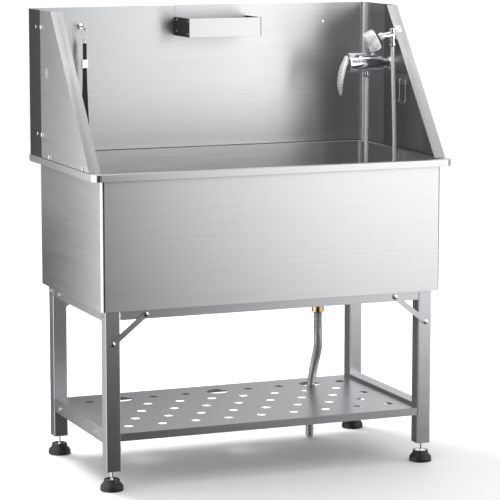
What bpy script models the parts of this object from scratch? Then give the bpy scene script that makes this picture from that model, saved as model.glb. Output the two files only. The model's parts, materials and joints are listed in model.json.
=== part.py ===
"""Stainless steel pet bathtub: a deep basin on a bolted frame with levelling feet and a perforated shelf,
splash panels, a lever mixer with a hand shower, a drain, a soap box, a hook rack and a leash."""
import math

import bmesh
import bpy
from mathutils import Matrix, Vector

for leftover in list(bpy.data.objects):
    bpy.data.objects.remove(leftover, do_unlink=True)

# Driving dimensions, in metres. X runs along the tub, Y towards its back, Z up from the floor.
GAP = 0.0003  # left between pieces that touch
RIM_LENGTH = 1.194
RIM_DEPTH = 0.674
RIM_TOP = 0.980
RIM_DROP = 0.021
RIM_CORNER = 0.024
OVERHANG_SIDE = 0.031
OVERHANG_FRONT = 0.023
OVERHANG_BACK = 0.035
BASIN_DEPTH = 0.420
BASIN_SHEET = 0.0015
BASIN_CORNER = 0.010

PANEL_SHEET = 0.0012
PANEL_HEIGHT = 0.4667
PANEL_INSET = 0.003  # from the rim's side to the side panel's outer face
BACK_INSET = 0.005  # from the rim's back to the back panel's outer face
BACK_CORNER = 0.018
BACK_RETURN = 0.167  # how far the back panel's sides come forward
SIDE_FRONT_INSET = 0.050  # from the rim's front to the foot of the slanted edge
SIDE_SLOPE = 0.7813  # set-back of the slanted edge for each metre of height
SIDE_LAP = 0.147  # from the rim's back to the side panel's rear edge
FLANGE_WIDTH = 0.037

LEG = 0.046
TUBE_WALL = 0.0015
TUBE_CORNER = 0.003
LEG_SPAN_X = 1.049  # between leg centres
LEG_SPAN_Y = 0.530
LEG_FOOT = 0.062  # height of the legs' lower ends
FRAME_Y = -0.006  # the frame and the basin share this centre plane
UPPER_RAIL = 0.029
UPPER_SIDE_RAIL = 0.034
UPPER_RAIL_SHELF = 0.030
LOWER_RAIL_TOP = 0.191
SHELF_TOP = 0.1795
SHELF_LIP = 0.0245
SHELF_SHEET = 0.0012
HOLE_RADIUS = 0.015
BIG_HOLE_RADIUS = 0.035
HOLE_PITCH_X = 0.111
HOLE_PITCH_Y = 0.097
BRACE_WIDTH = 0.017
BRACE_THICK = 0.003
BRACE_RAIL_X = 0.419
BRACE_RAIL_DROP = 0.015
BRACE_LEG_X = 0.5265
BRACE_LEG_DROP = 0.1015

FOOT_RADIUS = 0.036
FOOT_HEIGHT = 0.036
CUP_RADIUS = 0.0245  # of the cup on the foot that holds the stem's washer
CUP_FLOOR = 0.0325
STEM_RADIUS = 0.004
STEM_CLEARANCE = 0.0004
STEM_LENGTH = 0.0825
WASHER_RADIUS = 0.0185
WASHER_THICK = 0.003
PLUG_HEIGHT = 0.020

DRAIN_X = 0.278
DRAIN_HOLE = 0.030
DRAIN_FLANGE_RADIUS = 0.040
DRAIN_SPIGOT = 0.014
DRAIN_HOSE_RADIUS = 0.0145

MIXER_Y = 0.124
MIXER_Z = 1.253
MIXER_RADIUS = 0.026
MIXER_END = 0.441  # X of the cap's free end
MIXER_CAP_LENGTH = 0.029
MIXER_SHOULDER = 0.5565  # X where the body steps down to its shank
SHANK_RADIUS = 0.0135
MIXER_HOLE_RADIUS = 0.0175
MIXER_FLANGE_RADIUS = 0.023
MIXER_NUT_RADIUS = 0.0185
OUTLET_X = 0.5075
HOSE_RADIUS = 0.007

HANDSET_X = 0.539
HANDSET_Y = -0.006
HANDSET_NUT_TOP = 1.330
HEAD_CENTRE = (0.467, HANDSET_Y, 1.337)
HEAD_RADIUS = 0.035
HEAD_TILT = 27.0  # degrees that the spray points below level
HEAD_YAW = 18.0  # degrees that the spray points towards the back panel
FORK_BORE = 0.0093
FORK_WALL = 0.003
FORK_Z = 1.335
FORK_HEIGHT = 0.009

RACK_Y = (-0.0175, 0.0735)
RACK_Z = (1.191, 1.2215)
HOOK_DROP = 0.077
HOOK_WIRE = 0.0016

SOAP_X = (-0.088, 0.160)
SOAP_FRONT = 0.200
SOAP_BASE = 1.3485
SOAP_WALL = 0.061
SOAP_SHEET = 0.001
SOAP_END = 0.002

LEASH_X = -0.417
LEASH_Z = 1.385
LEASH_Y = 0.284
EYE_RADIUS = 0.008
EYE_WIRE = 0.0022
HOOK_BAR = 0.0015
STRAP_WIDTH = 0.013
STRAP_THICK = 0.0016
SPARE_HOLE_X = 0.440
SPARE_HOLE_RADIUS = 0.004

# What follows from them.
RIM_X = RIM_LENGTH / 2
RIM_Y = RIM_DEPTH / 2
BASIN_X = RIM_X - OVERHANG_SIDE
BASIN_FRONT = -RIM_Y + OVERHANG_FRONT
BASIN_BACK = RIM_Y - OVERHANG_BACK
BASIN_BOTTOM = RIM_TOP - BASIN_DEPTH
BASIN_FLOOR = BASIN_BOTTOM + BASIN_SHEET
FRAME_TOP = BASIN_BOTTOM - GAP
PANEL_FOOT = RIM_TOP + GAP
PANEL_TOP = PANEL_FOOT + PANEL_HEIGHT
SIDE_FOOT = PANEL_FOOT + PANEL_SHEET  # the slanted flange's cut end stays above the rim
SIDE_OUTER = RIM_X - PANEL_INSET
SIDE_INNER = SIDE_OUTER - PANEL_SHEET
RETURN_OUTER = SIDE_INNER - GAP
BACK_OUTER = RIM_Y - BACK_INSET
BACK_INNER = BACK_OUTER - PANEL_SHEET
LEG_X = LEG_SPAN_X / 2
LEG_FRONT_Y = FRAME_Y - LEG_SPAN_Y / 2
LEG_REAR_Y = FRAME_Y + LEG_SPAN_Y / 2
RAIL_X = LEG_X - LEG / 2 - GAP
FRAME_FRONT = LEG_FRONT_Y - LEG / 2
FRAME_REAR = LEG_REAR_Y + LEG / 2
SIDES = (("left", -1), ("right", 1))
CORNERS = (
    ("front_left", -1, LEG_FRONT_Y),
    ("front_right", 1, LEG_FRONT_Y),
    ("rear_left", -1, LEG_REAR_Y),
    ("rear_right", 1, LEG_REAR_Y),
)

parts = bpy.data.collections.new("pet_bathtub")
cutters = bpy.data.collections.new("cutters")
bpy.context.scene.collection.children.link(parts)
bpy.context.scene.collection.children.link(cutters)


def material(name, colour, roughness, metallic):
    made = bpy.data.materials.new(name)
    made.use_nodes = True
    shader = made.node_tree.nodes["Principled BSDF"]
    shader.inputs["Base Color"].default_value = (*colour, 1.0)
    shader.inputs["Roughness"].default_value = roughness
    shader.inputs["Metallic"].default_value = metallic
    return made


brushed = material("brushed_steel", (0.62, 0.63, 0.65), 0.30, 1.0)
frame_steel = material("frame_steel", (0.55, 0.56, 0.58), 0.38, 1.0)
chrome = material("chrome", (0.80, 0.81, 0.83), 0.08, 1.0)
brass = material("brass", (0.70, 0.52, 0.28), 0.25, 1.0)
rubber = material("black_rubber", (0.02, 0.02, 0.02), 0.65, 0.0)
black_plastic = material("black_plastic", (0.03, 0.03, 0.03), 0.45, 0.0)
grey_plastic = material("grey_plastic", (0.55, 0.56, 0.57), 0.35, 0.0)
webbing = material("black_webbing", (0.015, 0.015, 0.015), 0.85, 0.0)


def place(name, data, finish, collection=parts):
    obj = bpy.data.objects.new(name, data)
    data.materials.append(finish)
    collection.objects.link(obj)
    return obj


def from_bmesh(name, bm, finish, collection=parts):
    mesh = bpy.data.meshes.new(name)
    bm.to_mesh(mesh)
    bm.free()
    return place(name, mesh, finish, collection)


def as_cutter(obj):
    """Moves a helper to the cutters' collection, unseen in a render."""
    for holder in list(obj.users_collection):
        holder.objects.unlink(obj)
    cutters.objects.link(obj)
    obj.hide_render = True
    obj.display_type = "WIRE"
    return obj


def boolean(obj, other, operation="DIFFERENCE"):
    step = obj.modifiers.new(operation.lower(), "BOOLEAN")
    step.operation = operation
    step.object = as_cutter(other)
    step.solver = "EXACT"


def thicken(obj, thickness, offset=0.0):
    wall = obj.modifiers.new("sheet", "SOLIDIFY")
    wall.thickness = thickness
    wall.offset = offset
    wall.use_even_offset = True


def block(name, low, high, finish, bevel=0.0):
    bm = bmesh.new()
    bmesh.ops.create_cube(bm, size=1.0)
    size = [b - a for a, b in zip(low, high)]
    bmesh.ops.scale(bm, vec=size, verts=bm.verts)
    obj = from_bmesh(name, bm, finish)
    obj.location = [(a + b) / 2 for a, b in zip(low, high)]
    if bevel:
        rounding = obj.modifiers.new("edges", "BEVEL")
        rounding.width = bevel
        rounding.segments = 2
    return obj


def aim(obj, at, direction):
    """Puts the object at a point with its own Z along the direction."""
    obj.location = at
    obj.rotation_euler = Vector((0, 0, 1)).rotation_difference(Vector(direction)).to_euler()


def rod(name, at, direction, radius, length, finish, sides=16, end_radius=None):
    bm = bmesh.new()
    bmesh.ops.create_cone(
        bm, cap_ends=True, segments=sides, radius1=radius,
        radius2=radius if end_radius is None else end_radius, depth=length,
    )
    obj = from_bmesh(name, bm, finish)
    aim(obj, at, direction)
    return obj


def turned(name, profile, at, direction, finish, steps=24, ring=False):
    """A profile of (radius, height) points, from the top down its outer side, spun about the axis."""
    bm = bmesh.new()
    points = [bm.verts.new((radius, 0, height)) for radius, height in profile]
    for first, second in zip(points, points[1:]):
        bm.edges.new((first, second))
    if ring:
        bm.edges.new((points[-1], points[0]))
    obj = from_bmesh(name, bm, finish)
    spin = obj.modifiers.new("spin", "SCREW")
    spin.steps = steps
    spin.render_steps = steps
    spin.use_merge_vertices = True
    spin.merge_threshold = 0.00001
    aim(obj, at, direction)
    return obj


def folded_sheet(name, path, run, thickness, finish):
    """A sheet whose middle follows an open path of points and which runs along a vector."""
    bm = bmesh.new()
    points = [bm.verts.new(point) for point in path]
    edges = [bm.edges.new(pair) for pair in zip(points, points[1:])]
    grown = bmesh.ops.extrude_edge_only(bm, edges=edges)["geom"]
    moved = [item for item in grown if isinstance(item, bmesh.types.BMVert)]
    bmesh.ops.translate(bm, vec=run, verts=moved)
    obj = from_bmesh(name, bm, finish)
    thicken(obj, thickness)
    return obj


def round_corners(half_x, half_y, radius, steps=3):
    """An anticlockwise rectangle with round corners, as (x, y) points about its centre."""
    points = []
    for quarter, (sx, sy) in enumerate(((1, 1), (-1, 1), (-1, -1), (1, -1))):
        for step in range(steps + 1):
            angle = math.radians(90 * (quarter + step / steps))
            points.append((
                sx * (half_x - radius) + radius * math.cos(angle),
                sy * (half_y - radius) + radius * math.sin(angle),
            ))
    return points


def square_tube(name, at, direction, length, finish):
    """A tube with open ends, centred on a point."""
    half = (LEG - TUBE_WALL) / 2
    bm = bmesh.new()
    outline = round_corners(half, half, TUBE_CORNER, 2)
    points = [bm.verts.new((x, y, -length / 2)) for x, y in outline]
    edges = [bm.edges.new((points[i - 1], points[i])) for i in range(len(points))]
    grown = bmesh.ops.extrude_edge_only(bm, edges=edges)["geom"]
    moved = [item for item in grown if isinstance(item, bmesh.types.BMVert)]
    bmesh.ops.translate(bm, vec=(0, 0, length), verts=moved)
    obj = from_bmesh(name, bm, finish)
    thicken(obj, TUBE_WALL)
    aim(obj, at, direction)
    return obj


def smooth_route(points, count):
    """Evenly spaced points on a smooth curve through the route's own points."""
    ends = [2 * points[0] - points[1], *points, 2 * points[-1] - points[-2]]
    fine = []
    for a, b, c, d in zip(ends, ends[1:], ends[2:], ends[3:]):
        for step in range(12):
            t = step / 12
            fine.append(0.5 * (2 * b + (c - a) * t + (2 * a - 5 * b + 4 * c - d) * t ** 2
                               + (3 * b - a - 3 * c + d) * t ** 3))
    fine.append(points[-1])
    reach = [0.0]
    for first, second in zip(fine, fine[1:]):
        reach.append(reach[-1] + (second - first).length)
    spaced = []
    at = 0
    for number in range(count):
        wanted = reach[-1] * number / (count - 1)
        while at < len(fine) - 2 and reach[at + 1] < wanted:
            at += 1
        share = (wanted - reach[at]) / (reach[at + 1] - reach[at])
        spaced.append(fine[at].lerp(fine[at + 1], share))
    return spaced


def wire(name, points, radius, finish, resolution=2):
    """A round tube with closed ends through the points."""
    curve = bpy.data.curves.new(name, "CURVE")
    curve.dimensions = "3D"
    curve.bevel_depth = radius
    curve.bevel_resolution = resolution
    curve.use_fill_caps = True
    spline = curve.splines.new("POLY")
    spline.points.add(len(points) - 1)
    for knot, point in zip(spline.points, points):
        knot.co = (*point, 1.0)
    return place(name, curve, finish)


def as_mesh(obj, name, finish):
    """The wire or plate as a welded mesh, so that it can be joined to another piece."""
    graph = bpy.context.evaluated_depsgraph_get()
    mesh = bpy.data.meshes.new_from_object(obj.evaluated_get(graph))
    bm = bmesh.new()
    bm.from_mesh(mesh)
    bmesh.ops.remove_doubles(bm, verts=bm.verts, dist=0.00001)
    bmesh.ops.recalc_face_normals(bm, faces=bm.faces)
    made = from_bmesh(name, bm, finish)
    made.matrix_world = obj.matrix_world.copy()
    bpy.data.objects.remove(obj, do_unlink=True)
    return made


def plate(name, outline, thickness, finish):
    """A flat plate from an outline in its own X and Y, centred on its thickness."""
    curve = bpy.data.curves.new(name, "CURVE")
    curve.dimensions = "2D"
    curve.fill_mode = "BOTH"
    curve.extrude = thickness / 2
    spline = curve.splines.new("POLY")
    spline.points.add(len(outline) - 1)
    spline.use_cyclic_u = True
    for knot, (x, y) in zip(spline.points, outline):
        knot.co = (x, y, 0.0, 1.0)
    return place(name, curve, finish)


def basin():
    """The wetted skin, from the floor up the walls, over the rim and down its turned edge."""
    inner_x = BASIN_X - BASIN_SHEET
    inner_y = (BASIN_BACK - BASIN_FRONT) / 2 - BASIN_SHEET
    middle_y = (BASIN_BACK + BASIN_FRONT) / 2
    wall = [(x, y + middle_y) for x, y in round_corners(inner_x, inner_y, BASIN_CORNER)]
    rim = round_corners(RIM_X, RIM_Y, RIM_CORNER)
    levels = ((wall, BASIN_FLOOR), (wall, RIM_TOP), (rim, RIM_TOP), (rim, RIM_TOP - RIM_DROP))
    bm = bmesh.new()
    rings = [[bm.verts.new((x, y, z)) for x, y in outline] for outline, z in levels]
    bm.faces.new(rings[0])
    for lower, upper in zip(rings, rings[1:]):
        for i in range(len(lower)):
            bm.faces.new((lower[i], lower[i - 1], upper[i - 1], upper[i]))
    obj = from_bmesh("tub_basin", bm, brushed)
    thicken(obj, BASIN_SHEET, -1.0)
    hole = rod("drain_hole", (DRAIN_X, FRAME_Y, BASIN_BOTTOM), (0, 0, 1), DRAIN_HOLE, 0.02, brushed, 32)
    boolean(obj, hole)


def flange_front(z):
    """Y of the slanted flange's front face at a height."""
    return -RIM_Y + SIDE_FRONT_INSET + SIDE_SLOPE * (z - PANEL_FOOT)


def flange_point(x, z, out):
    """A point in front of the slanted flange, measured square to it."""
    lean = math.hypot(1, SIDE_SLOPE)
    return Vector((x, flange_front(z) - out / lean, z + out * SIDE_SLOPE / lean))


def back_panel():
    half = PANEL_SHEET / 2
    x = RETURN_OUTER - half
    y = BACK_OUTER - half
    radius = BACK_CORNER - half
    path = [(-x, RIM_Y - BACK_RETURN, PANEL_FOOT)]
    for quarter, sign in ((2, -1), (1, 1)):
        for step in range(6):
            angle = math.radians(90 * quarter - 90 * step / 5)
            path.append((
                sign * (x - radius) + radius * math.cos(angle), y - radius + radius * math.sin(angle), PANEL_FOOT,
            ))
    path.append((x, RIM_Y - BACK_RETURN, PANEL_FOOT))
    obj = folded_sheet("back_panel", path, (0, 0, PANEL_HEIGHT), PANEL_SHEET, brushed)
    for hole_x in (LEASH_X, SPARE_HOLE_X):
        hole = rod("leash_hole", (hole_x, BACK_OUTER, LEASH_Z), (0, 1, 0), SPARE_HOLE_RADIUS, 0.02, brushed, 12)
        boolean(obj, hole)


def side_panel(side, sign):
    """A flat panel in one plane and its slanted edge folded inward, square to it."""
    half = PANEL_SHEET / 2
    x = sign * (SIDE_OUTER - half)
    rear = RIM_Y - SIDE_LAP
    setback = half * math.hypot(1, SIDE_SLOPE)
    low = (x, flange_front(SIDE_FOOT) + setback, SIDE_FOOT)
    high = (x, flange_front(PANEL_TOP) + setback, PANEL_TOP)
    bm = bmesh.new()
    corners = [bm.verts.new(p) for p in (low, (x, rear, SIDE_FOOT), (x, rear, PANEL_TOP), high)]
    bm.faces.new(corners)
    inward = (-sign * (FLANGE_WIDTH - half), 0, 0)
    slant = bm.edges.get((corners[3], corners[0]))
    grown = bmesh.ops.extrude_edge_only(bm, edges=[slant])["geom"]
    bmesh.ops.translate(bm, vec=inward, verts=[v for v in grown if isinstance(v, bmesh.types.BMVert)])
    bmesh.ops.recalc_face_normals(bm, faces=bm.faces)
    obj = from_bmesh(f"side_panel_{side}", bm, brushed)
    thicken(obj, PANEL_SHEET)
    at = (sign * SIDE_OUTER, MIXER_Y, MIXER_Z)
    boolean(obj, rod("mixer_hole", at, (1, 0, 0), MIXER_HOLE_RADIUS, 0.02, brushed, 24))


def frame():
    leg_length = FRAME_TOP - LEG_FOOT
    for corner, sign, y in CORNERS:
        square_tube(
            f"leg_{corner}", (sign * LEG_X, y, LEG_FOOT + leg_length / 2), (0, 0, 1), leg_length, frame_steel,
        )
        inside = LEG / 2 - TUBE_WALL - GAP
        outline = round_corners(inside, inside, TUBE_CORNER, 2)
        plug = as_mesh(plate(f"leg_plug_{corner}", outline, PLUG_HEIGHT, black_plastic),
                       f"leg_plug_{corner}", black_plastic)
        plug.name = f"leg_plug_{corner}"
        plug.location = (sign * LEG_X, y, LEG_FOOT + PLUG_HEIGHT / 2)
        bore = rod("stem_hole", plug.location, (0, 0, 1), STEM_RADIUS + STEM_CLEARANCE, 0.04, rubber, 16)
        boolean(plug, bore)
    half = TUBE_WALL / 2
    for name, y, turn in (("front", FRAME_FRONT, 1), ("rear", FRAME_REAR, -1)):
        path = [
            (-RAIL_X, y + turn * half, FRAME_TOP - UPPER_RAIL),
            (-RAIL_X, y + turn * half, FRAME_TOP - half),
            (-RAIL_X, y + turn * UPPER_RAIL_SHELF, FRAME_TOP - half),
        ]
        folded_sheet(f"upper_rail_{name}", path, (2 * RAIL_X, 0, 0), TUBE_WALL, frame_steel)
    rail_front = LEG_FRONT_Y + LEG / 2 + GAP
    rail_length = LEG_SPAN_Y - LEG - 2 * GAP
    outer = LEG_X + LEG / 2
    for side, sign in SIDES:
        path = [
            (sign * (outer - half), rail_front, FRAME_TOP - UPPER_SIDE_RAIL),
            (sign * (outer - half), rail_front, FRAME_TOP - half),
            (sign * (outer - UPPER_RAIL_SHELF), rail_front, FRAME_TOP - half),
        ]
        folded_sheet(f"upper_rail_{side}", path, (0, rail_length, 0), TUBE_WALL, frame_steel)
        square_tube(
            f"lower_rail_{side}", (sign * LEG_X, FRAME_Y, LOWER_RAIL_TOP - LEG / 2), (0, 1, 0), rail_length,
            frame_steel,
        )


def shelf():
    """A tray turned over: its lips point down, and rows of round holes let water through."""
    half = SHELF_SHEET / 2
    x = RAIL_X - half
    front = FRAME_FRONT + half
    rear = FRAME_REAR - half
    top = SHELF_TOP - half
    bm = bmesh.new()
    corners = [bm.verts.new(p) for p in ((-x, front, top), (x, front, top), (x, rear, top), (-x, rear, top))]
    bm.faces.new(corners)
    grown = bmesh.ops.extrude_edge_only(bm, edges=list(bm.edges))["geom"]
    moved = [item for item in grown if isinstance(item, bmesh.types.BMVert)]
    bmesh.ops.translate(bm, vec=(0, 0, half - SHELF_LIP), verts=moved)
    obj = from_bmesh("shelf", bm, brushed)
    thicken(obj, SHELF_SHEET)
    punch = bmesh.new()
    for row in range(-2, 3):
        staggered = row % 2
        for column in range(-4, 4 if staggered else 5):
            big = row == 2 and column in (-3, 0, 3)
            radius = BIG_HOLE_RADIUS if big else HOLE_RADIUS
            hole_x = HOLE_PITCH_X * (column + staggered / 2)
            shift = Matrix.Translation((hole_x, FRAME_Y + HOLE_PITCH_Y * row, top))
            bmesh.ops.create_cone(
                punch, cap_ends=True, segments=16 if big else 12, radius1=radius, radius2=radius, depth=0.01,
                matrix=shift,
            )
    boolean(obj, from_bmesh("shelf_punch", punch, brushed))


def braces():
    """Flat bars with round ends from each leg to the rail beside it."""
    rise = BRACE_LEG_DROP - BRACE_RAIL_DROP
    for corner, sign, y in CORNERS:
        front = y < FRAME_Y
        start = Vector((sign * BRACE_LEG_X, 0, FRAME_TOP - BRACE_LEG_DROP))
        run = Vector((sign * (BRACE_RAIL_X - BRACE_LEG_X), 0, rise))
        outline = []
        for end in range(2):
            for step in range(7):
                angle = math.radians(90 + 180 * end + 180 * step / 6)
                outline.append((
                    end * run.length + BRACE_WIDTH / 2 * math.cos(angle), BRACE_WIDTH / 2 * math.sin(angle),
                ))
        bar = plate(f"brace_{corner}", outline, BRACE_THICK, frame_steel)
        if front:
            level = FRAME_FRONT - GAP - BRACE_THICK / 2
        else:
            level = FRAME_REAR + GAP + BRACE_THICK / 2
        bar.location = (start.x, level, start.z)
        bar.rotation_euler = (math.radians(90), -math.atan2(run.z, run.x), 0)


def feet():
    bevel = 0.0016
    pad = (
        (0, CUP_FLOOR), (CUP_RADIUS - 0.005, CUP_FLOOR), (CUP_RADIUS - 0.004, FOOT_HEIGHT),
        (CUP_RADIUS - 0.001, FOOT_HEIGHT), (CUP_RADIUS, FOOT_HEIGHT - bevel), (CUP_RADIUS + 0.001, 0.026),
        (FOOT_RADIUS - 0.005, 0.0205), (FOOT_RADIUS - 0.0015, 0.0165), (FOOT_RADIUS, 0.0110), (FOOT_RADIUS, bevel),
        (FOOT_RADIUS - bevel, 0), (0, 0),
    )
    washer = CUP_FLOOR + GAP
    top = washer + STEM_LENGTH
    stem = (
        (0, top), (STEM_RADIUS, top), (STEM_RADIUS, washer + WASHER_THICK), (WASHER_RADIUS, washer + WASHER_THICK),
        (WASHER_RADIUS, washer), (0, washer),
    )
    for corner, sign, y in CORNERS:
        at = (sign * LEG_X, y, 0)
        turned(f"foot_pad_{corner}", pad, at, (0, 0, 1), rubber, 20)
        turned(f"foot_stem_{corner}", stem, at, (0, 0, 1), chrome, 16)


def drain():
    at = (DRAIN_X, FRAME_Y, 0)
    up = (0, 0, 1)
    neck = DRAIN_HOLE - 0.0015
    bore = neck - 0.002
    face = BASIN_FLOOR + GAP
    flange = (
        (bore, face + 0.001), (DRAIN_FLANGE_RADIUS - 0.002, face + 0.002), (DRAIN_FLANGE_RADIUS, face),
        (neck, face), (neck, BASIN_BOTTOM - 0.015), (bore, BASIN_BOTTOM - 0.015),
    )
    turned("drain_flange", flange, at, up, chrome, 32, ring=True)
    dish = bore - 0.001
    strainer = (
        (0, face + 0.008), (0.004, face + 0.008), (0.004, face + 0.001), (dish, face), (dish, face - 0.002),
        (0, face - 0.002),
    )
    grid = turned("drain_strainer", strainer, at, up, chrome, 24)
    punch = bmesh.new()
    for number in range(8):
        angle = math.radians(45 * number)
        shift = Matrix.Translation((DRAIN_X + 0.016 * math.cos(angle), FRAME_Y + 0.016 * math.sin(angle), face))
        bmesh.ops.create_cone(
            punch, cap_ends=True, segments=8, radius1=0.0035, radius2=0.0035, depth=0.02, matrix=shift,
        )
    boolean(grid, from_bmesh("strainer_punch", punch, chrome))
    cup = neck + GAP
    under = BASIN_BOTTOM - GAP
    tail = (
        (cup, under), (cup + 0.006, under), (cup + 0.006, under - 0.016), (cup, under - 0.030),
        (DRAIN_SPIGOT, under - 0.050), (DRAIN_SPIGOT, under - 0.085), (DRAIN_SPIGOT - 0.0025, under - 0.085),
        (DRAIN_SPIGOT - 0.0025, under - 0.048), (cup, under - 0.024),
    )
    turned("drain_tail", tail, at, up, grey_plastic, 24, ring=True)
    nut_top = under - 0.072
    nut_foot = nut_top - 0.026
    nut_bore = DRAIN_SPIGOT + GAP
    nut = (
        (nut_bore, nut_top), (nut_bore + 0.006, nut_top), (nut_bore + 0.006, nut_foot), (nut_bore, nut_foot),
    )
    turned("drain_nut", nut, at, up, brass, 24, ring=True)
    # The corrugated hose drops from the nut, swings back and goes down through the shelf's large hole.
    route = (
        (0.2780, -0.0060, 0.4613), (0.2780, -0.0060, 0.4420), (0.2788, -0.0045, 0.4150),
        (0.2840, 0.0060, 0.3830), (0.2960, 0.0330, 0.3470), (0.3120, 0.0760, 0.3140),
        (0.3240, 0.1160, 0.2820), (0.3310, 0.1460, 0.2470), (0.3325, 0.1630, 0.2110),
        (0.3310, 0.1710, 0.1720), (0.3290, 0.1720, 0.1200), (0.3275, 0.1715, 0.0600), (0.3265, 0.1710, 0.0040),
    )
    points = smooth_route([Vector(point) for point in route], 40)
    wire("drain_hose", points, DRAIN_HOSE_RADIUS, grey_plastic, 3)


def mixer():
    at = (0, MIXER_Y, MIXER_Z)
    along = (1, 0, 0)
    start = MIXER_END + MIXER_CAP_LENGTH + 0.0005
    profile = (
        (0, RIM_X), (SHANK_RADIUS, RIM_X), (SHANK_RADIUS, MIXER_SHOULDER), (MIXER_RADIUS, MIXER_SHOULDER),
        (MIXER_RADIUS, start), (0, start),
    )
    body = turned("mixer_body", profile, at, along, chrome, 24)
    stub_foot = MIXER_Z - MIXER_RADIUS - 0.0015
    stub = rod("outlet_stub", (OUTLET_X, MIXER_Y, (MIXER_Z + stub_foot) / 2), (0, 0, 1), 0.010,
               MIXER_Z - stub_foot, chrome, 16)
    boolean(body, stub, "UNION")
    cover_low = (start + 0.004, MIXER_Y - 0.011, MIXER_Z + 0.012)
    cover_high = (MIXER_SHOULDER - 0.012, MIXER_Y + 0.011, MIXER_Z + MIXER_RADIUS + 0.003)
    boolean(body, block("mixer_cover", cover_low, cover_high, chrome, 0.002), "UNION")
    for side in (-1, 1):
        port = (RIM_X, MIXER_Y + side * 0.0072, MIXER_Z)
        boolean(body, rod("inlet_port", port, along, 0.0036, 0.06, chrome, 12))
    bore = SHANK_RADIUS + GAP
    nut = (
        (bore, RETURN_OUTER), (MIXER_FLANGE_RADIUS, RETURN_OUTER), (MIXER_FLANGE_RADIUS, SIDE_INNER - 0.006),
        (MIXER_NUT_RADIUS, SIDE_INNER - 0.009), (MIXER_NUT_RADIUS, MIXER_SHOULDER + GAP), (bore, MIXER_SHOULDER + GAP),
    )
    turned("mixer_wall_nut", nut, at, along, chrome, 24, ring=True)
    lock = (
        (bore, RIM_X), (MIXER_FLANGE_RADIUS, RIM_X), (MIXER_FLANGE_RADIUS, SIDE_OUTER + GAP),
        (bore, SIDE_OUTER + GAP),
    )
    turned("mixer_back_nut", lock, at, along, chrome, 24, ring=True)
    cap_top = MIXER_END + MIXER_CAP_LENGTH
    cap = (
        (0, cap_top), (MIXER_RADIUS, cap_top), (MIXER_RADIUS, MIXER_END + 0.004),
        (MIXER_RADIUS - 0.004, MIXER_END), (0, MIXER_END),
    )
    turned("mixer_cap", cap, (0, MIXER_Y, MIXER_Z), along, chrome, 24)
    nut_top = stub_foot - GAP
    outlet = (
        (0, nut_top), (0.0125, nut_top), (0.0125, nut_top - 0.012), (0.0095, nut_top - 0.0165),
        (0, nut_top - 0.0165),
    )
    turned("mixer_outlet_nut", outlet, (OUTLET_X, MIXER_Y, 0), (0, 0, 1), chrome, 12)


def mixer_lever():
    """A leaf-shaped blade that hangs from a round boss, whose centre is the lift axis."""
    pivot = Vector((MIXER_END - 0.0085, MIXER_Y, MIXER_Z + 0.016))
    blade = (
        (0.0000, 0.0060, 0.011), (-0.0010, -0.0080, 0.0150), (-0.0080, -0.0240, 0.0175),
        (-0.0160, -0.0420, 0.0185), (-0.0220, -0.0610, 0.0175), (-0.0240, -0.0800, 0.0155),
        (-0.0225, -0.0980, 0.0120), (-0.0195, -0.1150, 0.0070),
    )
    bm = bmesh.new()
    rows = []
    for x, z, half in blade:
        rows.append([bm.verts.new(pivot + Vector((x, side * half, z))) for side in (-1, 0, 1)])
    for upper, lower in zip(rows, rows[1:]):
        for i in range(2):
            bm.faces.new((upper[i], upper[i + 1], lower[i + 1], lower[i]))
    obj = from_bmesh("mixer_lever", bm, chrome)
    thicken(obj, 0.010)
    boolean(obj, rod("lever_boss", pivot, (0, 1, 0), 0.006, 0.024, chrome, 16), "UNION")


def shower_hose():
    """From the mixer's outlet down into the basin, round on its floor, and up to the handset."""
    route = (
        (0.5075, 0.1240, 1.2085), (0.5075, 0.1240, 1.1700), (0.5074, 0.1240, 1.0800),
        (0.5068, 0.1240, 0.9600), (0.5050, 0.1240, 0.8400), (0.5010, 0.1240, 0.7300),
        (0.4930, 0.1220, 0.6500), (0.4810, 0.1130, 0.5960), (0.4700, 0.0900, 0.5730),
        (0.4660, 0.0580, 0.5690), (0.4720, 0.0270, 0.5720), (0.4870, 0.0030, 0.5920),
        (0.5070, -0.0120, 0.6400), (0.5270, -0.0170, 0.7150), (0.5400, -0.0150, 0.8050),
        (0.5465, -0.0110, 0.8900), (0.5480, -0.0080, 0.9700), (0.5470, -0.0063, 1.0700),
        (0.5440, -0.0060, 1.1700), (0.5410, -0.0060, 1.2600), (0.5390, -0.0060, 1.3177),
    )
    wire("shower_hose", smooth_route([Vector(point) for point in route], 72), HOSE_RADIUS, chrome, 2)


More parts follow.
